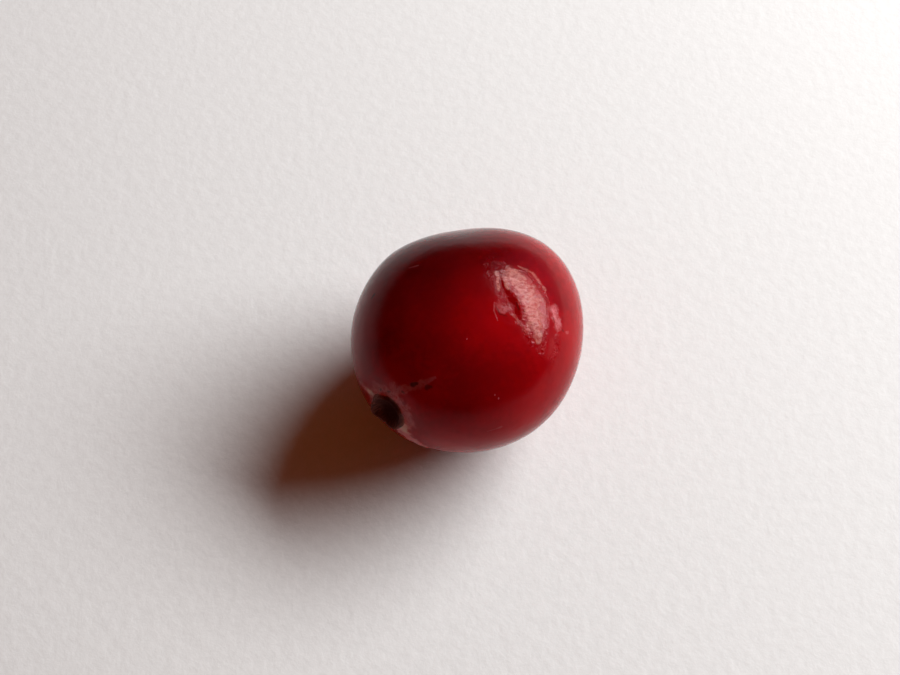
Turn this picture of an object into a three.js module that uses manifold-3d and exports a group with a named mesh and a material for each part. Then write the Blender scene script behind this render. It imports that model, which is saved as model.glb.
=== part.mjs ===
import * as THREE from 'three';
import { mergeVertices } from 'three/addons/utils/BufferGeometryUtils.js';
import Module from 'manifold-3d';

// A ripe cranberry lying on its side. It grew as one piece, so it is one solid.
// Lengths are in millimetres, angles in degrees, and +Z is up.
// The fruit's own axis runs along X: the blossom end, with its dried calyx, looks towards -X
// and the stem end towards +X. The finished fruit then leans so that the calyx is raised.
// The origin is at the middle of the finished fruit's box, on the surface it rests on.

// Body: an egg-ended ellipsoid, a little flattened, that lies almost level.
const HALF_LENGTH = 7;
const HALF_WIDTH = 6.45;
const HALF_HEIGHT = 5.5;
const SKEW = -2.5; // how far round the long axis lies from the calyx, seen from above
const DROOP = 9; // how far the long axis dips below the calyx
const STEM_TAPER = 0.03; // share of the radius that moves from one end to the other
const SHOULDER = 0.013; // share of the radius that squares the shoulders
const CALYX_LIFT = 10; // how far the calyx end is raised as the fruit lies
const FLAT_DEPTH = 0.16; // how far the skin is flattened where the fruit rests

// Low swells and dips that keep the outline from being round. Each points from the middle of
// the body: azimuth about Z from +X, elevation above the X-Y plane.
const SWELLS = [
  { azimuth: -5, elevation: 40, height: 0.2, spread: 15 }, // broad shoulder over the stem end
  { azimuth: -85, elevation: 65, height: -0.2, spread: 20 }, // flatter patch on the near top
  { azimuth: -55, elevation: 35, height: 0.15, spread: 20 }, // fuller side below that patch
  { azimuth: 50, elevation: 35, height: -0.1, spread: 10 }, // dent beside the shoulder
  { azimuth: 90, elevation: 15, height: 0.1, spread: 10 }, // fuller far side
  { azimuth: -175, elevation: -35, height: 0.1, spread: 10 }, // lower shoulder of the calyx end
];

// Blossom end: a shallow basin, the dried four-lobed crown of the calyx, and the hollow in it.
// A reach is measured along the skin from the middle of the calyx.
const BASIN_RADIUS = 1.9;
const BASIN_DEPTH = 0.28;
const CROWN_RADIUS = 1.1;
const CROWN_WALL = 0.15;
const CROWN_HEIGHT = 0.33;
const HOLLOW_DEPTH = 0.34;
const LOBES = 4;
const LOBE_TURN = 39; // turn of the first lobe about X, from +Z towards +Y
const LOBE_RISE = 0.2; // share of the crown's height that comes and goes with the lobes
const LOBE_SPREAD = 0.07; // share of the crown's radius that does

// Stem end: a small dimple round the corky scar left by the stalk.
const DIMPLE_RADIUS = 1.2;
const DIMPLE_DEPTH = 0.2;
const SCAR_RADIUS = 0.5;
const SCAR_WALL = 0.12;
const SCAR_HEIGHT = 0.16;
const SCAR_PIT = 0.14;

// Mesh: rings round the axis, close together over the calyx and the scar.
const CALYX_RINGS = [0, 0.3, 0.55, 0.75, 0.87, 0.97, 1.07, 1.17, 1.28, 1.42, 1.65, 2, 2.45];
const SCAR_RINGS = [0, 0.2, 0.36, 0.5, 0.64, 0.85, 1.2, 1.7];
const BODY_RINGS = 24;
const SEGMENTS = 60;

const SKIN_COLOUR = 0x7a0610;
const SKIN_ROUGHNESS = 0.28;

const wasm = await Module();
wasm.setup();

const radians = THREE.MathUtils.degToRad;
const hump = (distance, spread) => Math.exp(-0.5 * (distance / spread) ** 2);

for (const swell of SWELLS) {
  const level = Math.cos(radians(swell.elevation));
  swell.direction = new THREE.Vector3(
    level * Math.cos(radians(swell.azimuth)),
    level * Math.sin(radians(swell.azimuth)),
    Math.sin(radians(swell.elevation)),
  );
}

// Turns a direction from the calyx's axis to the body's own long, wide and high axes.
const toBodyAxes = new THREE.Quaternion()
  .setFromEuler(new THREE.Euler(0, radians(-DROOP), radians(SKEW), 'ZYX'))
  .invert();

// Distance from the middle of the body to its skin, along a unit direction.
function bodyRadius(direction) {
  const { x } = direction;
  const axes = direction.clone().applyQuaternion(toBodyAxes);
  const ellipsoid = 1 / Math.hypot(axes.x / HALF_LENGTH, axes.y / HALF_WIDTH, axes.z / HALF_HEIGHT);
  const taper = STEM_TAPER * (5 * x ** 3 - 3 * x) / 2;
  const shoulders = SHOULDER * (8 * x ** 4 - 8 * x ** 2 + 1);
  const swelling = SWELLS.reduce((sum, { direction: middle, height, spread }) =>
    sum + height * hump(direction.angleTo(middle), radians(spread)), 0);
  return ellipsoid * (1 + taper + shoulders) + swelling;
}

// Height of the blossom end's relief over the body, at a reach and a turn about the axis.
function calyxRelief(reach, turn) {
  const lobes = Math.cos(LOBES * (turn - radians(LOBE_TURN)));
  const crownRadius = CROWN_RADIUS * (1 + LOBE_SPREAD * lobes);
  const crown = CROWN_HEIGHT * (1 + LOBE_RISE * lobes) * hump(reach - crownRadius, CROWN_WALL);
  const hollow = HOLLOW_DEPTH * (1 - THREE.MathUtils.smoothstep(reach, 0, crownRadius));
  return crown - hollow - BASIN_DEPTH * hump(reach, BASIN_RADIUS / 2);
}

// The same for the stem end, whose scar is round.
function scarRelief(reach) {
  const rim = SCAR_HEIGHT * hump(reach - SCAR_RADIUS, SCAR_WALL);
  const pit = SCAR_PIT * hump(reach, SCAR_RADIUS / 2);
  return rim - pit - DIMPLE_DEPTH * hump(reach, DIMPLE_RADIUS / 2);
}

// Unit sphere turned about X, with its rings where the fruit needs them.
function ringedSphere() {
  const calyxAngles = CALYX_RINGS.map((reach) => reach / HALF_LENGTH);
  const scarAngles = SCAR_RINGS.map((reach) => Math.PI - reach / HALF_LENGTH).reverse();
  const start = calyxAngles.at(-1);
  const step = (scarAngles[0] - start) / BODY_RINGS;
  const bodyAngles = Array.from({ length: BODY_RINGS - 1 }, (_, ring) => start + (ring + 1) * step);
  const profile = [...calyxAngles, ...bodyAngles, ...scarAngles]
    .map((angle) => new THREE.Vector2(Math.sin(angle), -Math.cos(angle)));
  return new THREE.LatheGeometry(profile, SEGMENTS).rotateZ(-Math.PI / 2);
}

// The whole fruit, with its middle at the origin and its axis along X.
function fruitGeometry() {
  const geometry = ringedSphere();
  const points = geometry.attributes.position;
  const point = new THREE.Vector3();
  for (let index = 0; index < points.count; index += 1) {
    point.fromBufferAttribute(points, index).normalize();
    const calyxReach = HALF_LENGTH * Math.acos(THREE.MathUtils.clamp(-point.x, -1, 1));
    const scarReach = HALF_LENGTH * Math.PI - calyxReach;
    const turn = Math.atan2(point.y, point.z);
    const relief = calyxRelief(calyxReach, turn) + scarRelief(scarReach);
    point.multiplyScalar(bodyRadius(point) + relief);
    points.setXYZ(index, point.x, point.y, point.z);
  }
  return geometry;
}

// three.js geometry to a manifold solid, and back.
function toSolid(geometry) {
  const bare = geometry.clone().deleteAttribute('normal').deleteAttribute('uv');
  const merged = mergeVertices(bare);
  return new wasm.Manifold(new wasm.Mesh({
    numProp: 3,
    vertProperties: new Float32Array(merged.attributes.position.array),
    triVerts: new Uint32Array(merged.index.array),
  }));
}

function toGeometry(solid) {
  const mesh = solid.getMesh();
  const geometry = new THREE.BufferGeometry();
  geometry.setAttribute('position', new THREE.BufferAttribute(mesh.vertProperties, 3));
  geometry.setIndex(new THREE.BufferAttribute(mesh.triVerts, 1));
  geometry.computeVertexNormals();
  return geometry;
}

// Leans the fruit, sinks it by the depth of its flat and cuts it level there.
function restOnFlat(geometry) {
  geometry.rotateY(radians(CALYX_LIFT));
  geometry.computeBoundingBox();
  const middle = geometry.boundingBox.getCenter(new THREE.Vector3());
  geometry.translate(-middle.x, -middle.y, -geometry.boundingBox.min.z - FLAT_DEPTH);
  const width = 4 * HALF_LENGTH;
  const ground = new THREE.BoxGeometry(width, width, width).translate(0, 0, -width / 2);
  return toGeometry(toSolid(geometry).subtract(toSolid(ground)));
}

const skin = new THREE.MeshStandardMaterial({
  color: SKIN_COLOUR,
  roughness: SKIN_ROUGHNESS,
  metalness: 0,
});

const berry = new THREE.Mesh(restOnFlat(fruitGeometry()), skin);
berry.name = 'berry';

const cranberry = new THREE.Group();
cranberry.name = 'cranberry';
cranberry.add(berry);

export default cranberry;
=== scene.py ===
import math

import bpy
import numpy as np
from bpy.props import FloatProperty, FloatVectorProperty, IntProperty, PointerProperty
from mathutils import Matrix, Quaternion, Vector, noise


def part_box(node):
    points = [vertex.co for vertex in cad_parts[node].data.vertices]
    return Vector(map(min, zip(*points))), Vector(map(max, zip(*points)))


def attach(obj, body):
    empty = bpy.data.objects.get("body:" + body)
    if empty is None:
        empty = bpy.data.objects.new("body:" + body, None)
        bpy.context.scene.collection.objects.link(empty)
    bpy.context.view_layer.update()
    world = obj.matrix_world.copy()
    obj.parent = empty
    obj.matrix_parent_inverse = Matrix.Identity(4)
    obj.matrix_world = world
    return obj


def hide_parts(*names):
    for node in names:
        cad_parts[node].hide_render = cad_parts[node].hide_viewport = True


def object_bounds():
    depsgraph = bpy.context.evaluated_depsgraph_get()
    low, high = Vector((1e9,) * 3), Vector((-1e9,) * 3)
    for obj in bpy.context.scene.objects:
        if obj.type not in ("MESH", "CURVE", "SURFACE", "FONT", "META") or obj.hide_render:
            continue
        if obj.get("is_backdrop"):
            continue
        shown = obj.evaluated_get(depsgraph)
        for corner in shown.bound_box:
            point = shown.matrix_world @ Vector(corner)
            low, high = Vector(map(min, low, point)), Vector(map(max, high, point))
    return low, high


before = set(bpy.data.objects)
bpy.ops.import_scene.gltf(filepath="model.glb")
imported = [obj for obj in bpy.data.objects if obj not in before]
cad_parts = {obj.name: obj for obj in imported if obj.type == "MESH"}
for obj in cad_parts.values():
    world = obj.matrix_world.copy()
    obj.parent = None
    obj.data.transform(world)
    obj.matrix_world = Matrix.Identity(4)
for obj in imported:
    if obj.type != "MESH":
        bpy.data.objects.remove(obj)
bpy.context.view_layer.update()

bl_info = {
    "name": "Cranberry",
    "version": (1, 0, 0),
    "blender": (4, 5, 0),
    "location": "3D Viewport > Sidebar > Cranberry",
    "description": "Builds a ripe cranberry lying on its side, and a plain stage to look at it on",
    "category": "Add Mesh",
}

# A ripe cranberry. Lengths are in metres unless a name says millimetres.
# The fruit's own axis runs along X: the blossom end, with its dried calyx, looks towards -X and
# the stem end towards +X. The finished fruit leans so that the calyx is raised.
MM = 0.001
CHART_RADIUS = 7.0  # millimetres, of the sphere on which marks are laid out

# Low swells and dips of the body: azimuth and elevation of their middle, height in millimetres,
# and spread in degrees.
SWELLS = (
    (-5, 40, 0.2, 15),  # broad shoulder over the stem end
    (-85, 65, -0.2, 20),  # flatter patch on the near top
    (-55, 35, 0.15, 20),  # fuller side below that patch
    (50, 35, -0.1, 10),  # dent beside the shoulder
    (90, 15, 0.1, 10),  # fuller far side
    (-175, -35, 0.1, 10),  # lower shoulder of the calyx end
)

# The pit inside the crown: how far out its floor reaches, where the folds on its wall are and
# how wide they spread, all as shares of the crown's radius, and how high the folds stand.
PIT_FLOOR = 0.35
FOLD_MIDDLE, FOLD_SPREAD = 0.6, 0.25
FOLD_HEIGHT = 0.03 * MM

# How far noise changes the sizes of the dry ends, as a share of each.
RAGGED_CROWN = 0.04  # the crown's radius
RAGGED_LOBES = 0.18  # its height
RAGGED_STYLE = 0.4  # height of the style's stub
RAGGED_SCAR = 0.1  # radius of the stem scar
RAGGED_RIM = 0.5  # height of its rim
RAGGED_PIT = 0.4  # depth of its pit
RAGGED_CORK = 0.1 * MM  # the edge of the cork, as a length

# Slight waves of the skin: height and size of the broad and of the fine ones, and the two
# distances from the calyx between which they set in.
BROAD_HEIGHT, BROAD_SIZE = 0.012 * MM, 2.6 * MM
FINE_HEIGHT, FINE_SIZE = 0.0035 * MM, 0.8 * MM
WAVES_START, WAVES_FULL = 1.5 * MM, 2.6 * MM

# Rings of the mesh, which lie close together as far as these distances from its two ends.
CALYX_REACH, SCAR_REACH = 2.4 * MM, 1.2 * MM
CALYX_RINGS, BODY_RINGS, SCAR_RINGS = 77, 146, 25

# Marks on the skin. Each is a stroke: azimuth and elevation of its start and of its end, half its
# width at both in millimetres, and its strength. First come soft patches of painted shade and of
# painted light, in deeper and lighter red, then the wax and the tan knobs round the calyx, flecks,
# and the scuffs by the scarred patch, which are partly painted glints of the lamp.
# Painted shade: soft patches of deeper red that darken the skin's shading on the shoulder, the top,
# below the middle and under the calyx.
PAINTED_SHADE_PATCHES = (
    ((20, 62), (-10, 52), 1.4, 1.4, 0.5),  # over the shoulder
    ((-10, 48), (-45, 42), 1.2, 1.2, 0.45),  # beside the scarred patch
    ((155, 65), (-170, 52), 1.6, 1.6, 0.35),  # middle of the top
    ((-155, 38), (-115, 38), 1.6, 1.6, 0.35),  # below the middle
    ((145, -12), (172, -18), 1.4, 1.4, 0.5),  # under the calyx
)
# Painted light: soft patches of lighter red that brighten the shaded skin above the calyx and low on
# the near side.
PAINTED_LIGHT_PATCHES = (
    ((175, 24), (-168, 24), 1.2, 1.3, 0.8),  # above the calyx
    ((-145, -5), (-115, 5), 1.4, 1.6, 0.4),  # near side, low down
)
WAXY_STAR = (
    ((166, 0), (158, -3), 0.20, 0.10, 0.4),
    ((158, -3), (150, -4), 0.10, 0.03, 0.25),
    ((179, 15), (-174, 21), 0.34, 0.22, 0.4),
    ((-174, 21), (-169, 27), 0.22, 0.24, 0.35),
    ((-169, 27), (-164, 32), 0.24, 0.08, 0.25),
    ((-171, -9), (-166, -12), 0.45, 0.46, 1.0),
    ((-166, -12), (-161, -16), 0.46, 0.28, 1.0),
    ((-161, -16), (-156, -24), 0.28, 0.05, 0.8),
    ((174, 11), (168, 7), 0.26, 0.24, 0.35),
    ((-170, 7), (-169, 1), 0.16, 0.22, 0.4),
)
LOBE_TIPS = (
    ((166, 0), (168, 1), 0.18, 0.15, 0.75),
    ((-171, -3), (-170, -7), 0.20, 0.24, 0.75),
)
DARK_FLECKS = (
    ((-174, 23), (-172, 25), 0.13, 0.09, 0.75),
    ((-166, 26), (-164, 27), 0.15, 0.10, 0.65),
    ((-177, 17), (-176, 17), 0.06, 0.05, 0.7),
    ((172, 8), (172, 9), 0.07, 0.05, 0.8),
    ((176, 11), (177, 12), 0.06, 0.05, 0.7),
    ((124, 27), (126, 25), 0.08, 0.04, 0.9),
    ((-64, 45), (-67, 43), 0.04, 0.04, 0.6),
    ((-67, 37), (-67, 36), 0.05, 0.04, 0.6),
    ((-105, 74), (-107, 69), 0.04, 0.05, 0.5),
    ((-107, 69), (-99, 66), 0.05, 0.04, 0.5),
    ((-73, 67), (-79, 64), 0.05, 0.06, 0.6),
)
PALE_FLECKS = (
    ((-151, 56), (-151, 56.5), 0.035, 0.03, 0.6),
    ((-128, 28), (-128, 28.5), 0.03, 0.03, 0.6),
    ((-126, 26), (-126, 26.5), 0.04, 0.03, 0.6),
    ((109, 47), (106, 52), 0.03, 0.06, 0.15),
    ((-131, 7), (-124, 9), 0.03, 0.06, 0.12),
)
# Scuffs by the scarred patch: pale dull wax, partly painted glints of the lamp.
SCUFFS_AND_GLINTS = (
    ((-101, 73), (-99, 70), 0.26, 0.24, 0.35),
    ((-92, 70), (-87, 68), 0.10, 0.12, 0.4),
    ((-104, 76), (-113, 72), 0.05, 0.06, 0.3),
    ((-113, 72), (-114, 66), 0.06, 0.04, 0.3),
    ((-57, 46), (-67, 41), 0.32, 0.28, 0.55),
    ((-58, 46), (-63, 44), 0.12, 0.18, 0.85),
    ((-66, 34), (-65, 33), 0.10, 0.10, 0.25),
)

# Scarred patch beside the shoulder: a wrinkled area, a pale bloom on its middle that is partly a
# painted highlight of the lamp with its bright streaks, and the furrows in it. A furrow has a start,
# an end, half its width at both, how soft its edge is, its depth in millimetres and the tilt of its
# floor in degrees.
WRINKLED = (
    ((0, 75), (-60, 67), 0.7, 1.1, 1.0),
    ((-60, 66), (-89, 45), 1.1, 0.4, 1.0),
)
# Partly a painted highlight: the lamp's highlight on the patch and its bright streaks are painted in
# these strokes.
BLOOM_AND_HIGHLIGHT = (
    ((-22, 69), (-42, 66), 0.55, 0.62, 0.9),
    ((-42, 66), (-60, 60), 0.62, 0.72, 1.0),
    ((-60, 60), (-78, 52), 0.72, 0.56, 1.0),
    ((-78, 52), (-88, 45), 0.56, 0.20, 1.0),
    ((-14, 63), (-26, 57), 0.08, 0.10, 0.5),
    ((-26, 57), (-43, 52), 0.12, 0.10, 0.6),
    ((-6, 77), (-66, 79), 0.13, 0.11, 1.0),
    ((-25, 75), (-52, 74), 0.15, 0.14, 1.0),
    ((-91, 65), (-91, 52), 0.08, 0.10, 0.35),
)
FURROWS = (
    ((-18, 66), (-26, 60), 0.05, 0.09, 0.4, 0.012, 0),
    ((-26, 60), (-36, 57), 0.09, 0.14, 0.4, 0.018, 0),
    ((-36, 57), (-44, 54), 0.20, 0.24, 0.4, 0.035, 0),
    ((-44, 54), (-53, 50), 0.22, 0.10, 0.4, 0.02, 0),
    ((-53, 50), (-64, 49), 0.10, 0.06, 0.4, 0.012, 0),
    ((-36, 77), (-59, 74), 0.14, 0.26, 0.25, 0.0, 13),
    ((-59, 74), (-72, 69), 0.26, 0.36, 0.25, 0.0, 13),
    ((-72, 69), (-80, 64), 0.36, 0.36, 0.25, 0.0, 13),
    ((-80, 64), (-87, 61), 0.34, 0.15, 0.25, 0.0, 13),
    ((-66, 45), (-84, 38), 0.30, 0.50, 0.8, 0.0, -7),
    ((-12, 76), (-59, 77), 0.07, 0.10, 0.4, 0.02, 0),
    ((-75, 65), (-68, 57), 0.06, 0.05, 0.4, 0.01, 0),
    ((-82, 61), (-74, 53), 0.07, 0.06, 0.4, 0.012, 0),
    ((-86, 56), (-79, 48), 0.05, 0.05, 0.4, 0.008, 0),
)


def lay(value, name, description):
    """A length property in metres, shown in the scene's own unit."""
    return FloatProperty(
        name=name, description=description, default=value, subtype="DISTANCE", unit="LENGTH",
        precision=5,
    )


def number(value, name, description, low=0.0, high=1.0):
    """A plain number property."""
    return FloatProperty(name=name, description=description, default=value, min=low, max=high)


def turn_by(degrees, name, description):
    """An angle property."""
    return FloatProperty(
        name=name, description=description, default=math.radians(degrees), subtype="ANGLE",
        unit="ROTATION",
    )


def tint(value, name, description):
    """A colour property."""
    return FloatVectorProperty(
        name=name, description=description, default=value, size=3, min=0.0, max=1.0,
        subtype="COLOR",
    )


class BerryShape(bpy.types.PropertyGroup):
    """Sizes of the fruit."""

    half_length: lay(7.0 * MM, "Half length", "From the middle to either end")
    half_width: lay(6.45 * MM, "Half width", "From the middle to either side")
    half_height: lay(5.5 * MM, "Half height", "From the middle to the top")
    skew: turn_by(-2.5, "Skew", "How far round the long axis lies from the calyx")
    droop: turn_by(9, "Droop", "How far the long axis dips below the calyx")
    stem_taper: number(0.03, "Stem taper", "Radius moved from one end to the other", -0.2, 0.2)
    shoulder: number(0.013, "Shoulder", "How far the shoulders are squared", -0.2, 0.2)
    calyx_lift: turn_by(10, "Calyx lift", "How far the calyx end is raised")
    flat_depth: lay(0.16 * MM, "Flat depth", "How far the skin is flattened where it rests")

    basin_radius: lay(1.9 * MM, "Basin radius", "Shallow basin round the calyx")
    basin_depth: lay(0.28 * MM, "Basin depth", "Depth of that basin")
    crown_radius: lay(0.98 * MM, "Crown radius", "Ring of dried calyx lobes")
    crown_wall: lay(0.1 * MM, "Crown wall", "Thickness of the dried lobes")
    crown_lean: number(0.28, "Crown lean", "How much taller the crown's lower side is")
    crown_shift: lay(0.18 * MM, "Crown shift", "How far the crown stands towards its lower side")
    lower_turn: turn_by(150, "Lower turn", "Turn of the crown's lower side about the fruit's axis")
    crown_height: lay(0.24 * MM, "Crown height", "How far the dried lobes stand up")
    husk_skirt: lay(0.2 * MM, "Husk skirt", "How far the dry husk goes down outside the crown")
    hollow_depth: lay(0.5 * MM, "Hollow depth", "Depth of the pit inside the crown")
    style_radius: lay(0.12 * MM, "Style radius", "Stub of the style in the middle of the pit")
    style_height: lay(0.16 * MM, "Style height", "How far that stub stands up")
    lobes: IntProperty(name="Lobes", description="Lobes of the dried calyx", default=4, min=3, max=6)
    lobe_turn: turn_by(39, "Lobe turn", "Turn of the first lobe about the fruit's axis")
    lobe_rise: number(0.2, "Lobe rise", "Share of the crown's height that follows the lobes")
    lobe_spread: number(0.07, "Lobe spread", "Share of the crown's radius that follows the lobes")

    dimple_radius: lay(1.2 * MM, "Dimple radius", "Dimple round the stem scar")
    dimple_depth: lay(0.2 * MM, "Dimple depth", "Depth of that dimple")
    scar_radius: lay(0.5 * MM, "Scar radius", "Rim of the stem scar")
    scar_wall: lay(0.12 * MM, "Scar wall", "Thickness of the rim")
    scar_height: lay(0.16 * MM, "Scar height", "How far the rim stands up")
    scar_pit: lay(0.14 * MM, "Scar pit", "Depth of the pit inside the rim")

    segments: IntProperty(
        name="Segments", description="Faces round the fruit's axis", default=384, min=32, max=512
    )


class BerryFinish(bpy.types.PropertyGroup):
    """Colours and gloss of the fruit."""

    ripe_red: tint((0.285, 0.001, 0.003), "Ripe red", "Main colour of the skin")
    # Painted shade: the red of the shaded side, of the patches of painted shade and of the random
    # blotches.
    shade_and_blotch_red: tint((0.05, 0.0003, 0.001), "Deep red", "Colour of the darker side")
    # Painted light: the red of the patches of painted light.
    painted_light_red: tint((0.45, 0.002, 0.006), "Light red", "Colour of the lighter patches")
    # Direction of the side on which shade is painted.
    shade_azimuth: turn_by(72.0, "Deep azimuth", "Direction that the darker side faces")
    shade_elevation: turn_by(50.0, "Deep elevation", "How far up the darker side faces")
    # Pale wax, also the colour of the painted glints in the scuffs.
    wax_and_glint: tint((0.55, 0.18, 0.19), "Wax", "Pale waxy star round the calyx")
    # Pale bloom, which also paints most of the lamp's highlight on the scarred patch.
    bloom_and_highlight: tint((0.5, 0.2, 0.165), "Bloom", "Pale bloom on the scarred patch")
    lobe_tip: tint((0.62, 0.42, 0.34), "Lobe tip", "Tan tips of the dried lobes")
    fleck: tint((0.04, 0.004, 0.003), "Fleck", "Small dark flecks")
    husk: tint((0.065, 0.009, 0.006), "Husk", "Inside of the calyx, and the scar's darker parts")
    husk_edge: tint((0.22, 0.06, 0.04), "Husk edge", "Outside of the dried calyx")
    cork: tint((0.17, 0.075, 0.035), "Cork", "Scar left by the stalk")
    glow_depth: lay(2.4 * MM, "Glow depth", "How far red light travels inside the fruit")
    glow_reach: tint((1.0, 0.08, 0.06), "Glow reach", "Share of that depth for each colour")
    roughness: number(0.14, "Roughness", "How much the waxy skin blurs reflections")
    gloss_tint: tint((1.0, 0.62, 0.68), "Gloss tint", "Colour of reflections seen straight on")
    gloss_index: number(1.22, "Gloss index", "Refraction index of the waxy skin", 1.0, 2.0)
    unevenness: lay(0.012 * MM, "Unevenness", "Height of the slight unevenness all over")
    crumple: lay(0.05 * MM, "Crumple", "Height of the small facets in the wrinkled patch")
    crease: lay(0.006 * MM, "Crease", "Depth of the fine creases in the wrinkled patch")


class StageSettings(bpy.types.PropertyGroup):
    """Camera, floor and light."""

    camera_azimuth: turn_by(-48.73, "Camera azimuth", "Direction of the camera round the fruit")
    camera_elevation: turn_by(65.0, "Camera elevation", "Angle of the camera above the floor")
    camera_distance: lay(71.5 * MM, "Camera distance", "From the middle of the fruit")
    lens: number(50.0, "Lens", "Focal length in millimetres", 10.0, 200.0)
    aim_right: lay(-1.07 * MM, "Aim right", "Where the camera looks, right of the fruit's middle")
    aim_up: lay(-0.09 * MM, "Aim up", "Where the camera looks, above the fruit's middle")
    paper: tint((0.85, 0.865, 0.85), "Paper", "Colour of the floor")
    lamp_azimuth: turn_by(-20.8, "Lamp azimuth", "Direction of the soft lamp, from +X")
    lamp_elevation: turn_by(34.2, "Lamp elevation", "Angle of the lamp above the floor")
    lamp_distance: lay(280 * MM, "Lamp distance", "From the fruit to the lamp")
    lamp_width: lay(298 * MM, "Lamp width", "Width of the lamp")
    lamp_height: lay(105 * MM, "Lamp height", "Height of the lamp")
    lamp_roll: turn_by(14.0, "Lamp roll", "How far the lamp is turned about its own middle")
    lamp_radiance: number(
        17.2, "Lamp radiance", "Brightness of the lamp's face, where white paper is 1", 0.0, 100.0
    )
    fill: tint((0.085, 0.02, 0.005), "Fill", "Dim light from the rest of the room")
    glow: tint((0.3, 0.3, 0.5), "Glow", "Faint light from the wall under the lamp")
    glow_elevation: turn_by(8, "Glow elevation", "Angle of the glow above the floor")
    glow_spread: turn_by(50, "Glow spread", "How far the glow reaches from its middle")
    backdrop: tint((0.86, 0.85, 0.83), "Backdrop", "Colour behind the floor's far edge")
    backdrop_shine: number(0.4, "Backdrop shine", "How strongly glossy things show the backdrop")
    wall_top: turn_by(10, "Wall top", "Angle up to which glossy things show the backdrop")
    floor_half: lay(1.2, "Floor half", "From the middle of the floor to its edges")
    floor_fades: lay(65 * MM, "Floor fades", "Where the floor starts to fade into the backdrop")


# Shape ---------------------------------------------------------------------------------------


def unit(azimuth, elevation):
    """Unit vector at an azimuth and an elevation in degrees."""
    level = math.cos(math.radians(elevation))
    return np.array(
        (
            level * math.cos(math.radians(azimuth)),
            level * math.sin(math.radians(azimuth)),
            math.sin(math.radians(elevation)),
        )
    )


def hump(distance, spread):
    """A smooth bump, 1 in the middle."""
    return np.exp(-0.5 * (distance / spread) ** 2)


def smooth_step(value, low, high):
    """0 below low, 1 above high and smooth between."""
    part = np.clip((value - low) / (high - low), 0.0, 1.0)
    return part * part * (3 - 2 * part)


def noise_at(points, size, octaves, seed):
    """Smooth noise from about -1 to 1 at each point, with features of the given size."""
    fall_off, step = 1.0, 2.0
    shift = Vector((seed, -seed, 2 * seed))
    return np.array(
        [
            noise.fractal(Vector(point) / size + shift, fall_off, step, octaves)
            for point in points.tolist()
        ]
    )


def raggedness(turn, reach, seed):
    """Noise from about -1 to 1 that runs round the fruit's axis, for the dry ends."""
    tear_width = 0.32  # in radians round the axis
    per_radian = 2 * MM  # along the skin
    around = np.stack((np.cos(turn), np.sin(turn), reach / per_radian), -1)
    return noise_at(around, tear_width, octaves=3, seed=seed)


def body_radius(shape, direction):
    """Distance from the middle of the body to its skin, along unit directions."""
    x = direction[:, 0]
    to_calyx = Matrix.Rotation(shape.skew, 3, "Z") @ Matrix.Rotation(-shape.droop, 3, "Y")
    halves = (shape.half_length, shape.half_width, shape.half_height)
    stretched = np.linalg.norm(direction @ np.array(to_calyx) / halves, axis=1)
    taper = shape.stem_taper * (5 * x**3 - 3 * x) / 2
    shoulders = shape.shoulder * (8 * x**4 - 8 * x**2 + 1)
    radius = (1 + taper + shoulders) / stretched
    for azimuth, elevation, height, spread in SWELLS:
        middle = unit(azimuth, elevation)
        angle = np.degrees(np.arccos(np.clip(direction @ middle, -1.0, 1.0)))
        radius += height * MM * hump(angle, spread)
    return radius


def calyx_relief(shape, reach, turn, ragged):
    """Height of the blossom end's relief; reach is the distance from it along the skin."""
    lobes = np.cos(shape.lobes * (turn - shape.lobe_turn))
    lower = np.cos(turn - shape.lower_turn)
    radius = shape.crown_radius * (1 + shape.lobe_spread * lobes + RAGGED_CROWN * ragged)
    radius += shape.crown_shift * lower
    lean = shape.crown_lean * lower
    rise = shape.crown_height * (1 + lean + shape.lobe_rise * lobes + RAGGED_LOBES * ragged)
    crown = rise * hump(reach - radius, shape.crown_wall)
    hollow = shape.hollow_depth * (1 - smooth_step(reach, PIT_FLOOR * radius, radius))
    stub = shape.style_height * (1 + RAGGED_STYLE * ragged) * hump(reach, shape.style_radius)
    folds = FOLD_HEIGHT * ragged * hump(reach - FOLD_MIDDLE * radius, FOLD_SPREAD * radius)
    return crown - hollow + stub + folds - shape.basin_depth * hump(reach, shape.basin_radius / 2)


def scar_relief(shape, reach, ragged):
    """Height of the stem end's relief; reach is the distance from it along the skin."""
    radius = shape.scar_radius * (1 + RAGGED_SCAR * ragged)
    rim = shape.scar_height * (1 + RAGGED_RIM * ragged) * hump(reach - radius, shape.scar_wall)
    pit = shape.scar_pit * (1 + RAGGED_PIT * ragged) * hump(reach, radius / 2)
    return rim - pit - shape.dimple_depth * hump(reach, shape.dimple_radius / 2)


def skin_relief(points, reach):
    """Slight waves of the skin, which break up what it reflects; none round the calyx."""
    broad = BROAD_HEIGHT * noise_at(points, BROAD_SIZE, octaves=2, seed=1.0)
    fine = FINE_HEIGHT * noise_at(points, FINE_SIZE, octaves=2, seed=2.0)
    return smooth_step(reach, WAVES_START, WAVES_FULL) * (broad + fine)


def ring_reaches(shape):
    """Distances of the mesh's rings from the calyx along the skin."""
    whole = math.pi * shape.half_length
    calyx = np.linspace(0, CALYX_REACH, CALYX_RINGS + 1)[1:]
    scar = whole - np.linspace(0, SCAR_REACH, SCAR_RINGS + 1)[1:][::-1]
    body = np.linspace(calyx[-1], scar[0], BODY_RINGS + 2)[1:-1]
    return np.concatenate((calyx, body, scar))


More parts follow.
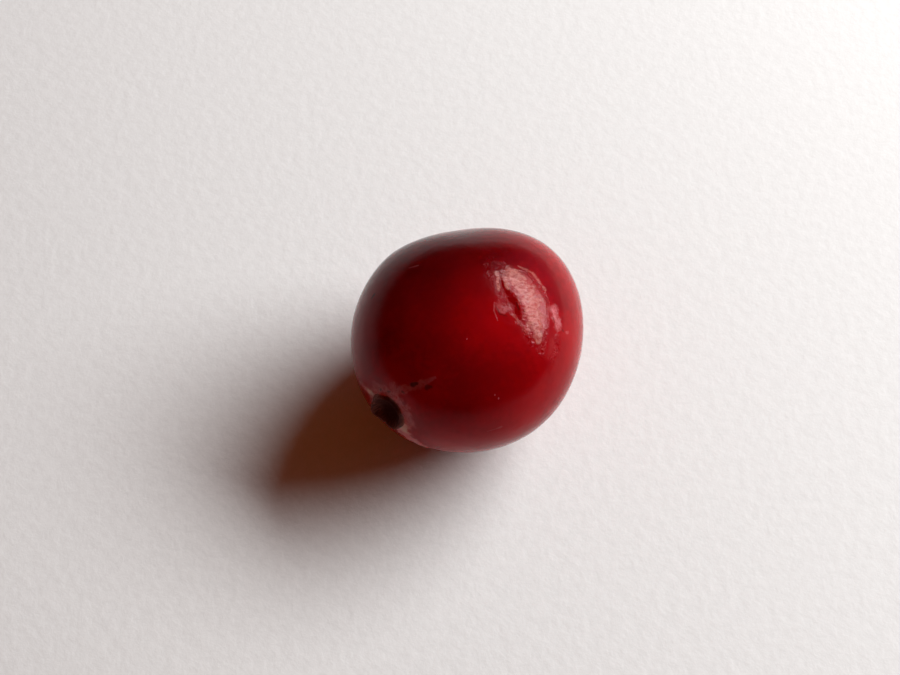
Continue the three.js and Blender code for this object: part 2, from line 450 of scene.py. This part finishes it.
def fruit_points(shape):
    """Points of the skin, ring by ring from the calyx, with one pole at each end."""
    angles = ring_reaches(shape) / shape.half_length
    turns = np.linspace(0, 2 * math.pi, shape.segments, endpoint=False)
    angle, turn = np.meshgrid(angles, turns, indexing="ij")
    ring = np.stack(
        (-np.cos(angle), np.sin(angle) * np.sin(turn), np.sin(angle) * np.cos(turn)), -1
    ).reshape(-1, 3)
    direction = np.vstack(((-1, 0, 0), ring, (1, 0, 0)))
    reach = shape.half_length * np.concatenate(((0,), angle.ravel(), (math.pi,)))
    turn = np.concatenate(((0,), turn.ravel(), (0,)))
    body = body_radius(shape, direction)
    ragged = raggedness(turn, reach, seed=4.0)
    relief = calyx_relief(shape, reach, turn, ragged)
    relief += scar_relief(shape, math.pi * shape.half_length - reach, ragged)
    relief += skin_relief(direction * body[:, None], reach)
    return direction * (body + relief)[:, None]


def ring_faces(rings, segments):
    """Faces of a ringed mesh with a pole at each end."""
    faces = []
    last = 1 + rings * segments
    for step in range(segments):
        after = (step + 1) % segments
        faces.append((0, 1 + after, 1 + step))
        for row in range(rings - 1):
            low = 1 + row * segments
            high = low + segments
            faces.append((low + step, low + after, high + after, high + step))
        top = last - segments
        faces.append((top + step, top + after, last))
    return faces


def rest_on_flat(shape, points):
    """Leans the fruit, sinks it by the depth of its flat and presses it level there.

    Returns the points, kept inside the solid's box, and where the middle of the body comes to lie.
    """
    leaned = points @ np.array(Matrix.Rotation(shape.calyx_lift, 3, "Y")).T
    low, high = leaned.min(0), leaned.max(0)
    across = -(low + high) / 2
    middle = np.array((across[0], across[1], -low[2] - shape.flat_depth))
    leaned += middle
    softness = 0.015 * MM
    leaned[:, 2] = softness * np.logaddexp(0, leaned[:, 2] / softness)
    box_low, box_high = (np.array(corner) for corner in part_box("berry"))
    fit = min(1.0, *((box_high - box_low) / (leaned.max(0) - leaned.min(0))))
    leaned *= fit
    leaned[:, 2] += box_low[2] - leaned[:, 2].min()
    return leaned, middle * fit


# Node tools ----------------------------------------------------------------------------------


class Nodes:
    """Adds nodes to one tree and wires them up as they are made.

    Wherever a value is asked for, it may also be another node's socket.
    """

    def __init__(self, tree):
        self.tree = tree

    def feed(self, socket, value):
        """Gives a socket its value."""
        if isinstance(value, bpy.types.NodeSocket):
            self.tree.links.new(value, socket)
        else:
            socket.default_value = value

    def add(self, kind, inputs=(), **settings):
        """A node with its settings, and with its inputs in order or by name."""
        node = self.tree.nodes.new(kind)
        for name, value in settings.items():
            setattr(node, name, value)
        pairs = inputs.items() if isinstance(inputs, dict) else enumerate(inputs)
        for key, value in pairs:
            self.feed(node.inputs[key], value)
        return node

    def group(self, tree, inputs=()):
        """Outputs of a node that holds a group."""
        return self.add("ShaderNodeGroup", inputs, node_tree=tree).outputs

    def math(self, operation, *values):
        """Result of a maths node."""
        return self.add("ShaderNodeMath", values, operation=operation).outputs[0]

    def vector(self, operation, *values):
        """Vector that a vector maths node gives."""
        return self.add("ShaderNodeVectorMath", values, operation=operation).outputs["Vector"]

    def number(self, operation, *values):
        """Number that a vector maths node gives."""
        return self.add("ShaderNodeVectorMath", values, operation=operation).outputs["Value"]

    def turned(self, vector, angle, axis):
        """A vector turned about one axis."""
        inputs = {"Vector": vector, "Angle": angle}
        node = self.add("ShaderNodeVectorRotate", inputs, rotation_type=f"{axis}_AXIS")
        return node.outputs[0]

    def ramp(self, value, low, high, start=0.0, end=1.0):
        """Smooth change from start to end as value goes from low to high."""
        inputs = (value, low, high, start, end)
        return self.add("ShaderNodeMapRange", inputs, interpolation_type="SMOOTHSTEP").outputs[0]

    def noise(self, where, scale, detail, roughness, distortion=0.0):
        """Noise from 0 to 1; scale is how many features there are to one unit of where."""
        inputs = {
            "Vector": where,
            "Scale": scale,
            "Detail": detail,
            "Roughness": roughness,
            "Distortion": distortion,
        }
        return self.add("ShaderNodeTexNoise", inputs).outputs["Fac"]

    def mix(self, part, first, second):
        """Two colours mixed, all of the second where part is 1."""
        node = self.add("ShaderNodeMix", data_type="RGBA")
        sockets = {socket.identifier: socket for socket in (*node.inputs, *node.outputs)}
        self.feed(sockets["Factor_Float"], part)
        self.feed(sockets["A_Color"], first)
        self.feed(sockets["B_Color"], second)
        return sockets["Result_Color"]

    def raise_surface(self, shader, height, distance, strength=1.0):
        """Lets a height show as fine relief; distance is how high a height of 1 stands."""
        inputs = {"Strength": strength, "Distance": distance, "Height": height}
        self.feed(shader.inputs["Normal"], self.add("ShaderNodeBump", inputs).outputs[0])


def rgba(colour):
    """A colour with full alpha."""
    return (*colour, 1.0)


# Shader groups -------------------------------------------------------------------------------


def new_group(name, inputs, outputs):
    """An empty shader group with named sockets: its nodes, its inputs and its outputs."""
    nodes = Nodes(bpy.data.node_groups.new(name, "ShaderNodeTree"))
    interface = nodes.tree.interface
    for label, kind, default in inputs:
        socket = interface.new_socket(label, in_out="INPUT", socket_type=kind)
        socket.default_value = default
    for label, kind in outputs:
        interface.new_socket(label, in_out="OUTPUT", socket_type=kind)
    return nodes, nodes.add("NodeGroupInput").outputs, nodes.add("NodeGroupOutput").inputs


def fruit_coordinates(shape, middle):
    """Group: where a point of the skin is on the fruit, in millimetres.

    Reach is its distance from the calyx along the skin, and Place is the same point on a sphere
    round the middle.
    """
    nodes, source, sink = new_group(
        "Fruit coordinates",
        (("Middle", "NodeSocketVector", tuple(middle)),),
        (("Reach", "NodeSocketFloat"), ("Place", "NodeSocketVector")),
    )
    place = nodes.add("ShaderNodeTexCoord").outputs["Object"]
    centred = nodes.vector("SUBTRACT", place, source["Middle"])
    direction = nodes.vector("NORMALIZE", nodes.turned(centred, -shape.calyx_lift, "Y"))
    along = nodes.add("ShaderNodeSeparateXYZ", (direction,)).outputs["X"]
    angle = nodes.math("ARCCOSINE", nodes.math("MULTIPLY", along, -1.0))
    nodes.feed(sink["Reach"], nodes.math("MULTIPLY", angle, CHART_RADIUS))
    nodes.feed(sink["Place"], nodes.vector("MULTIPLY", direction, (CHART_RADIUS,) * 3))
    return nodes.tree


def wrinkled_skin():
    """Group: uneven height from 0 to 1, thin wandering creases and a fine mottle.

    Size is that of the wrinkles in millimetres. Stretch makes them longer across the scarred
    patch than along it.
    """
    nodes, source, sink = new_group(
        "Wrinkled skin",
        (
            ("Place", "NodeSocketVector", (0.0, 0.0, 0.0)),
            ("Size", "NodeSocketFloat", 0.5),
            ("Stretch", "NodeSocketFloat", 1.0),
            ("Crease Width", "NodeSocketFloat", 0.05),
        ),
        (
            ("Height", "NodeSocketFloat"),
            ("Crease", "NodeSocketFloat"),
            ("Mottle", "NodeSocketFloat"),
        ),
    )
    patch_turn = math.radians(40)  # brings the patch's width close to the X axis
    finer, coarser = 2.2, 0.8
    narrowed = nodes.math("DIVIDE", 1.0, source["Stretch"])
    squeeze = nodes.add("ShaderNodeCombineXYZ", (narrowed, 1.0, 1.0)).outputs[0]
    place = nodes.vector("MULTIPLY", nodes.turned(source["Place"], patch_turn, "Z"), squeeze)
    scale = nodes.math("DIVIDE", 1.0, source["Size"])
    height = nodes.noise(place, scale, 1.5, 0.5, distortion=0.6)
    mottle = nodes.noise(place, nodes.math("MULTIPLY", scale, finer), 2.0, 0.6, distortion=0.4)
    lines = nodes.noise(place, nodes.math("MULTIPLY", scale, coarser), 2.0, 0.5, distortion=1.5)
    off_line = nodes.math("ABSOLUTE", nodes.math("SUBTRACT", lines, 0.5))
    nodes.feed(sink["Height"], height)
    nodes.feed(sink["Crease"], nodes.ramp(off_line, 0.0, source["Crease Width"], 1.0, 0.0))
    nodes.feed(sink["Mottle"], mottle)
    return nodes.tree


def stroke_mask():
    """Group: mask of one tapering stroke on the skin, and how far to its right a point is."""
    nodes, source, sink = new_group(
        "Stroke",
        (
            ("Place", "NodeSocketVector", (0.0, 0.0, 0.0)),
            ("Wander", "NodeSocketFloat", 0.0),
            ("Start", "NodeSocketVector", (0.0, 0.0, 0.0)),
            ("End", "NodeSocketVector", (0.0, 0.0, 0.0)),
            ("Start Width", "NodeSocketFloat", 0.1),
            ("End Width", "NodeSocketFloat", 0.1),
            ("Edge", "NodeSocketFloat", 0.45),
        ),
        (("Mask", "NodeSocketFloat"), ("Across", "NodeSocketFloat")),
    )
    run = nodes.vector("SUBTRACT", source["End"], source["Start"])
    offset = nodes.vector("SUBTRACT", source["Place"], source["Start"])
    along = nodes.math(
        "DIVIDE",
        nodes.number("DOT_PRODUCT", offset, run),
        nodes.number("DOT_PRODUCT", run, run),
    )
    along.node.use_clamp = True
    reached = nodes.add("ShaderNodeVectorMath", {"Vector": run, "Scale": along}, operation="SCALE")
    distance = nodes.number("LENGTH", nodes.vector("SUBTRACT", offset, reached.outputs[0]))
    widths = (along, 0.0, 1.0, source["Start Width"], source["End Width"])
    width = nodes.add("ShaderNodeMapRange", widths).outputs[0]
    relative = nodes.math("ADD", nodes.math("DIVIDE", distance, width), source["Wander"])
    inside = nodes.math("SUBTRACT", 1.0, source["Edge"])
    outside = nodes.math("ADD", 1.0, source["Edge"])
    nodes.feed(sink["Mask"], nodes.ramp(relative, inside, outside, 1.0, 0.0))
    right = nodes.vector("NORMALIZE", nodes.vector("CROSS_PRODUCT", source["Start"], run))
    nodes.feed(sink["Across"], nodes.number("DOT_PRODUCT", offset, right))
    return nodes.tree


# Materials -----------------------------------------------------------------------------------


def shader_material(name):
    """A material and its Principled shader."""
    material = bpy.data.materials.new(name)
    material.use_nodes = True
    return material, material.node_tree.nodes["Principled BSDF"]


class SkinNodes(Nodes):
    """Nodes of the skin, which know the place on the fruit and how far its marks wander."""

    def __init__(self, tree, groups):
        super().__init__(tree)
        self.groups = groups
        chart = self.group(groups["chart"])
        self.place, self.reach = chart["Place"], chart["Reach"]
        self.wander = self.ramp(self.noise(self.place, 2.2, 4.0, 0.6), 0.25, 0.75, -0.5, 0.5)

    def stroke(self, edge, start, end, start_width, end_width):
        """Outputs of one stroke."""
        inputs = {
            "Place": self.place,
            "Wander": self.wander,
            "Start": tuple(unit(*start) * CHART_RADIUS),
            "End": tuple(unit(*end) * CHART_RADIUS),
            "Start Width": start_width,
            "End Width": end_width,
            "Edge": edge,
        }
        return self.group(self.groups["stroke"], inputs)

    def painted(self, marks, edge=0.45):
        """Mask of several strokes together; edge is how soft they are, up to 1."""
        mask = 0.0
        for *line, strength in marks:
            one = self.math("MULTIPLY", self.stroke(edge, *line)["Mask"], strength)
            mask = self.math("MAXIMUM", mask, one)
        return mask

    def furrowed(self):
        """Height of the furrows in millimetres."""
        height = 0.0
        for *line, edge, depth, tilt in FURROWS:
            one = self.stroke(edge, *line)
            slope = math.tan(math.radians(tilt))
            floor = self.math("MULTIPLY_ADD", one["Across"], slope, -depth)
            height = self.math("MULTIPLY_ADD", one["Mask"], floor, height)
        return height

    def spot(self, distance, wander, inner, outer, strength):
        """Mask of a given strength that fades out between two distances in millimetres."""
        distance = self.math("MULTIPLY_ADD", self.wander, wander, distance)
        return self.ramp(distance, inner, outer, strength, 0.0)


def red_with_painted_shade(nodes, finish):
    """Red with painted shade on one side, random blotches, and patches of painted shade and light.
    """
    side = tuple(unit(math.degrees(finish.shade_azimuth), math.degrees(finish.shade_elevation)))
    cloudy, starts, full = 1.4, 4.0, 8.2  # millimetres towards that side
    facing = nodes.number("DOT_PRODUCT", nodes.place, side)
    clouds = nodes.noise(nodes.place, 0.35, 3.0, 0.55)
    facing = nodes.math("MULTIPLY_ADD", clouds, cloudy, facing)
    # Ripe red away from that side, painted shade towards it.
    ripe = nodes.ramp(facing, starts, full, 1.0, 0.0)
    colour = nodes.mix(ripe, rgba(finish.shade_and_blotch_red), rgba(finish.ripe_red))
    blotches = nodes.ramp(nodes.noise(nodes.place, 0.55, 3.0, 0.55), 0.32, 0.68, 0.0, 0.22)
    # Random blotches together with the patches of painted shade.
    deeper = nodes.math("MAXIMUM", blotches, nodes.painted(PAINTED_SHADE_PATCHES, edge=1.0))
    colour = nodes.mix(deeper, colour, rgba(finish.shade_and_blotch_red))
    # Patches of painted light.
    return nodes.mix(nodes.painted(PAINTED_LIGHT_PATCHES, edge=1.0), colour, rgba(finish.painted_light_red))


def wax_and_glint_mask(nodes):
    """Mask of the star and ring round the calyx, the halo round the stem scar and the scuffs.

    The scuffs are partly painted glints of the lamp.
    """
    broken = nodes.noise(nodes.place, 4.5, 4.0, 0.65)
    ring = nodes.spot(nodes.reach, wander=0.5, inner=1.4, outer=1.9, strength=0.5)
    from_stem = nodes.math("SUBTRACT", math.pi * CHART_RADIUS, nodes.reach)
    halo = nodes.spot(from_stem, wander=0.4, inner=0.8, outer=1.3, strength=0.2)
    star = nodes.math("MAXIMUM", nodes.painted(WAXY_STAR), ring)
    star = nodes.math("MAXIMUM", star, halo)
    star = nodes.math("MULTIPLY", star, nodes.ramp(broken, 0.3, 0.55, 0.4, 1.0))
    scuffs_and_glints = nodes.painted(SCUFFS_AND_GLINTS)
    scuffs_and_glints = nodes.math("MULTIPLY", scuffs_and_glints, nodes.ramp(broken, 0.35, 0.6, 0.4, 1.0))
    return nodes.math("MAXIMUM", star, scuffs_and_glints)


def skin_height(nodes, finish, even, crumpled):
    """Height of the skin's fine relief, in millimetres."""
    crumple = nodes.math("MULTIPLY", crumpled["Height"], finish.crumple / MM)
    crumple = nodes.math("MULTIPLY_ADD", crumpled["Crease"], -finish.crease / MM, crumple)
    height = nodes.furrowed()
    height = nodes.math("MULTIPLY_ADD", even["Height"], finish.unevenness / MM, height)
    return nodes.math("MULTIPLY_ADD", crumple, nodes.painted(WRINKLED), height)


def skin_material(finish, groups):
    """Waxy red skin with its wax, scuffs and flecks, and the scarred patch with its bloom.

    The red has painted shade and light, the scuffs hold painted glints and the bloom paints most of
    the lamp's highlight on the patch.
    """
    material, shader = shader_material("waxy red skin")
    nodes = SkinNodes(material.node_tree, groups)
    even = nodes.group(groups["wrinkles"], {"Place": nodes.place, "Size": 0.6})
    crumpled = nodes.group(
        groups["wrinkles"],
        {"Place": nodes.place, "Size": 0.42, "Stretch": 2.0, "Crease Width": 0.03},
    )
    dull_wax_and_glints = wax_and_glint_mask(nodes)
    speckled = nodes.ramp(crumpled["Mottle"], 0.3, 0.65, 0.18, 0.8)
    layers = (
        # Wax, with the painted glints in the scuffs.
        (nodes.math("MAXIMUM", dull_wax_and_glints, nodes.painted(PALE_FLECKS)), finish.wax_and_glint),
        # Bloom, which paints most of the lamp's highlight on the scarred patch.
        (nodes.math("MULTIPLY", nodes.painted(BLOOM_AND_HIGHLIGHT), speckled), finish.bloom_and_highlight),
        (nodes.painted(LOBE_TIPS, edge=0.7), finish.lobe_tip),
        (nodes.painted(DARK_FLECKS), finish.fleck),
    )
    # Skin red with its painted shade and painted light.
    colour = red_with_painted_shade(nodes, finish)
    for mask, tone in layers:
        colour = nodes.mix(mask, colour, rgba(tone))
    nodes.feed(shader.inputs["Base Color"], colour)

    polish, haze, wear = 0.03, 0.05, 0.35  # how far they change the roughness
    rough = nodes.ramp(
        even["Mottle"], 0.3, 0.75, finish.roughness - polish, finish.roughness + haze
    )
    nodes.feed(shader.inputs["Roughness"], nodes.math("MULTIPLY_ADD", dull_wax_and_glints, wear, rough))
    nodes.raise_surface(shader, skin_height(nodes, finish, even, crumpled), distance=MM)
    shader.inputs["Subsurface Weight"].default_value = 1.0
    shader.inputs["Subsurface Radius"].default_value = finish.glow_reach
    shader.inputs["Subsurface Scale"].default_value = finish.glow_depth
    shader.inputs["Specular Tint"].default_value = rgba(finish.gloss_tint)
    shader.inputs["IOR"].default_value = finish.gloss_index
    return material


def dry_surface(nodes, shader, wrinkles, smoothest, roughest):
    """Uneven roughness and fine relief of a dry part."""
    rough = nodes.ramp(wrinkles["Mottle"], 0.3, 0.7, smoothest, roughest)
    nodes.feed(shader.inputs["Roughness"], rough)
    nodes.raise_surface(shader, wrinkles["Height"], distance=0.04 * MM, strength=0.8)


def husk_material(shape, finish, groups):
    """Dry, dark calyx, paler outside its rim than inside."""
    material, shader = shader_material("dried calyx")
    nodes = Nodes(material.node_tree)
    chart = nodes.group(groups["chart"])
    wrinkles = nodes.group(groups["wrinkles"], {"Place": chart["Place"], "Size": 0.22})
    dry_surface(nodes, shader, wrinkles, smoothest=0.55, roughest=0.8)
    rim, inward, outward = shape.crown_radius / MM, 0.15, 0.1
    outside = nodes.ramp(chart["Reach"], rim - inward, rim + outward)
    dry = nodes.ramp(wrinkles["Mottle"], 0.3, 0.7)
    wall = nodes.mix(dry, rgba(finish.husk), rgba(finish.husk_edge))
    colour = nodes.mix(outside, rgba(finish.husk), wall)
    nodes.feed(shader.inputs["Base Color"], colour)
    shader.inputs["Specular IOR Level"].default_value = 0.1
    return material


def cork_material(finish, groups):
    """Corky scar where the stalk came away."""
    material, shader = shader_material("stem scar cork")
    nodes = Nodes(material.node_tree)
    chart = nodes.group(groups["chart"])
    wrinkles = nodes.group(groups["wrinkles"], {"Place": chart["Place"], "Size": 0.2})
    dry_surface(nodes, shader, wrinkles, smoothest=0.6, roughest=0.85)
    dry = nodes.ramp(wrinkles["Mottle"], 0.35, 0.65)
    colour = nodes.mix(dry, rgba(finish.husk), rgba(finish.cork))
    nodes.feed(shader.inputs["Base Color"], colour)
    return material


def backdrop_rays(nodes, shine):
    """How much of the backdrop a ray sees: all from the camera, shine off or through a surface."""
    paths = nodes.add("ShaderNodeLightPath").outputs
    shiny = nodes.math("MAXIMUM", paths["Is Glossy Ray"], paths["Is Transmission Ray"])
    return nodes.math("MAXIMUM", paths["Is Camera Ray"], nodes.math("MULTIPLY", shiny, shine))


def floor_material(stage):
    """Plain pale paper with a faint tooth, which fades into the backdrop far from the fruit."""
    material, shader = shader_material("pale paper")
    nodes = Nodes(material.node_tree)
    tooth_per_metre, tooth_height, tooth_shade = 1400.0, 0.03 * MM, 0.97
    place = nodes.add("ShaderNodeTexCoord").outputs["Object"]
    tooth = nodes.noise(place, tooth_per_metre, 3.0, 0.6)
    hollows = [tooth_shade * part for part in stage.paper]
    colour = nodes.mix(nodes.ramp(tooth, 0.3, 0.7), rgba(hollows), rgba(stage.paper))
    nodes.feed(shader.inputs["Base Color"], colour)
    nodes.raise_surface(shader, tooth, distance=tooth_height)
    shader.inputs["Roughness"].default_value = 0.9
    shader.inputs["Specular IOR Level"].default_value = 0.2
    floor_gone = 2.5 * stage.floor_fades
    far = nodes.ramp(nodes.number("LENGTH", place), stage.floor_fades, floor_gone)
    part = nodes.math("MULTIPLY", far, backdrop_rays(nodes, stage.backdrop_shine))
    plain = nodes.add("ShaderNodeEmission", (rgba(stage.backdrop), 1.0)).outputs[0]
    mixed = nodes.add("ShaderNodeMixShader", (part, shader.outputs[0], plain)).outputs[0]
    nodes.feed(nodes.tree.nodes["Material Output"].inputs["Surface"], mixed)
    return material


# Operators -----------------------------------------------------------------------------------


class CRANBERRY_OT_berry(bpy.types.Operator):
    """Build the fruit as one fine mesh in place of its plain solid"""

    bl_idname = "cranberry.berry"
    bl_label = "Berry"

    def execute(self, context):
        shape, finish = context.scene.cranberry_shape, context.scene.cranberry_finish
        points, middle = rest_on_flat(shape, fruit_points(shape))
        rings = len(ring_reaches(shape))
        mesh = bpy.data.meshes.new("cranberry_fruit")
        mesh.from_pydata(points.tolist(), [], ring_faces(rings, shape.segments))
        mesh.polygons.foreach_set("use_smooth", [True] * len(mesh.polygons))
        groups = {
            "chart": fruit_coordinates(shape, middle),
            "wrinkles": wrinkled_skin(),
            "stroke": stroke_mask(),
        }
        mesh.materials.append(skin_material(finish, groups))
        mesh.materials.append(husk_material(shape, finish, groups))
        mesh.materials.append(cork_material(finish, groups))
        self.assign_materials(shape, mesh)
        mesh.update()
        fruit = bpy.data.objects.new("cranberry_fruit", mesh)
        context.scene.collection.objects.link(fruit)
        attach(fruit, "root")
        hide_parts("berry")
        return {"FINISHED"}

    @staticmethod
    def assign_materials(shape, mesh):
        """Dried calyx inside its crown, cork on the stem scar and skin on the rest."""
        skin, husk, cork = range(3)
        reaches = np.concatenate(((0,), ring_reaches(shape)))[None, :]
        turns = np.linspace(0, 2 * math.pi, shape.segments, endpoint=False)
        husk_ends = shape.crown_radius + shape.husk_skirt
        husk_ends = husk_ends + shape.crown_shift * np.cos(turns - shape.lower_turn)[:, None]
        cork_starts = math.pi * shape.half_length - shape.scar_radius - 2 * shape.scar_wall
        ragged = raggedness(turns, np.zeros_like(turns), seed=9.0)
        cork_starts = cork_starts + RAGGED_CORK * ragged[:, None]
        faces = np.where(reaches < husk_ends, husk, np.where(reaches > cork_starts, cork, skin))
        mesh.polygons.foreach_set("material_index", faces.ravel().astype(np.int32))


class CRANBERRY_OT_stage(bpy.types.Operator):
    """Lay the pale floor, hang the soft lamp and place the camera"""

    bl_idname = "cranberry.stage"
    bl_label = "Stage"

    def execute(self, context):
        stage = context.scene.cranberry_stage
        low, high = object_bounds()
        middle = (low + high) / 2
        self.lay_floor(context, stage)
        self.hang_lamp(context, stage, middle)
        self.light_room(context, stage)
        self.place_camera(context, stage, middle)
        context.scene.view_settings.view_transform = "Standard"
        return {"FINISHED"}

    @staticmethod
    def lay_floor(context, stage):
        """A flat sheet of paper, wide enough to fade out before it ends."""
        half = stage.floor_half
        mesh = bpy.data.meshes.new("floor")
        corners = [(-half, -half, 0), (half, -half, 0), (half, half, 0), (-half, half, 0)]
        mesh.from_pydata(corners, [], [(0, 1, 2, 3)])
        mesh.materials.append(floor_material(stage))
        floor = bpy.data.objects.new("floor", mesh)
        context.scene.collection.objects.link(floor)
        floor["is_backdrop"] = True

    @staticmethod
    def hang_lamp(context, stage, middle):
        """One wide, soft lamp, which is the highlight on the skin."""
        lamp = bpy.data.lights.new("window", "AREA")
        lamp.shape = "ELLIPSE"
        lamp.size = stage.lamp_width
        lamp.size_y = stage.lamp_height
        face = math.pi * stage.lamp_width * stage.lamp_height / 4
        lamp.energy = stage.lamp_radiance * math.pi * face
        away = Vector(
            unit(math.degrees(stage.lamp_azimuth), math.degrees(stage.lamp_elevation))
        )
        holder = bpy.data.objects.new("window", lamp)
        holder.location = middle + away * stage.lamp_distance
        turned = away.to_track_quat("Z", "Y") @ Quaternion((0, 0, 1), stage.lamp_roll)
        holder.rotation_euler = turned.to_euler()
        holder.visible_camera = False
        context.scene.collection.objects.link(holder)

    @staticmethod
    def light_room(context, stage):
        """A dim room with a faint glow under the lamp, and a pale backdrop seen behind the floor."""
        world = bpy.data.worlds.new("room")
        world.use_nodes = True
        tree = world.node_tree
        tree.nodes.clear()
        nodes = Nodes(tree)
        where = nodes.add("ShaderNodeTexCoord").outputs["Generated"]
        glow_at = unit(math.degrees(stage.lamp_azimuth), math.degrees(stage.glow_elevation))
        facing = nodes.number("DOT_PRODUCT", where, tuple(glow_at))
        glowing = nodes.ramp(facing, math.cos(stage.glow_spread), 1.0)
        around = nodes.mix(glowing, rgba(stage.fill), rgba(stage.glow))
        dim = nodes.add("ShaderNodeBackground", (around, 1.0)).outputs[0]
        bright = nodes.add("ShaderNodeBackground", (rgba(stage.backdrop), 1.0)).outputs[0]
        upward = nodes.add("ShaderNodeSeparateXYZ", (where,)).outputs["Z"]
        low = nodes.ramp(upward, 0.0, math.sin(stage.wall_top), stage.backdrop_shine, 0.0)
        seen = backdrop_rays(nodes, low)
        mixed = nodes.add("ShaderNodeMixShader", (seen, dim, bright)).outputs[0]
        nodes.add("ShaderNodeOutputWorld", (mixed,))
        context.scene.world = world

    @staticmethod
    def place_camera(context, stage, middle):
        """The camera, at its angle round and above the fruit."""
        azimuth, elevation = stage.camera_azimuth, stage.camera_elevation
        back = Vector(
            (
                math.sin(azimuth) * math.cos(elevation),
                -math.cos(azimuth) * math.cos(elevation),
                math.sin(elevation),
            )
        )
        right = Vector((math.cos(azimuth), math.sin(azimuth), 0))
        up = back.cross(right)
        camera = bpy.data.cameras.new("camera")
        camera.lens = stage.lens
        camera.clip_start = MM
        camera.clip_end = 5.0
        holder = bpy.data.objects.new("camera", camera)
        aim = middle + right * stage.aim_right + up * stage.aim_up
        holder.location = aim + back * stage.camera_distance
        holder.rotation_euler = back.to_track_quat("Z", "Y").to_euler()
        context.scene.collection.objects.link(holder)
        context.scene.camera = holder


class CRANBERRY_PT_panel(bpy.types.Panel):
    """Lists what the add-on builds, with its settings"""

    bl_idname = "CRANBERRY_PT_panel"
    bl_label = "Cranberry"
    bl_space_type = "VIEW_3D"
    bl_region_type = "UI"
    bl_category = "Cranberry"

    def draw(self, context):
        parts = (
            (CRANBERRY_OT_berry, (context.scene.cranberry_shape, context.scene.cranberry_finish)),
            (CRANBERRY_OT_stage, (context.scene.cranberry_stage,)),
        )
        for operator, settings in parts:
            box = self.layout.box()
            box.operator(operator.bl_idname)
            for group in settings:
                for name in group.bl_rna.properties.keys():
                    if name not in {"rna_type", "name"}:
                        box.prop(group, name)


CLASSES = (
    BerryShape,
    BerryFinish,
    StageSettings,
    CRANBERRY_OT_berry,
    CRANBERRY_OT_stage,
    CRANBERRY_PT_panel,
)


def register():
    for item in CLASSES:
        bpy.utils.register_class(item)
    bpy.types.Scene.cranberry_shape = PointerProperty(type=BerryShape)
    bpy.types.Scene.cranberry_finish = PointerProperty(type=BerryFinish)
    bpy.types.Scene.cranberry_stage = PointerProperty(type=StageSettings)


def unregister():
    del bpy.types.Scene.cranberry_stage
    del bpy.types.Scene.cranberry_finish
    del bpy.types.Scene.cranberry_shape
    for item in reversed(CLASSES):
        bpy.utils.unregister_class(item)


def main():
    register()
    bpy.ops.cranberry.berry()
    bpy.ops.cranberry.stage()


if __name__ == "__main__":
    main()
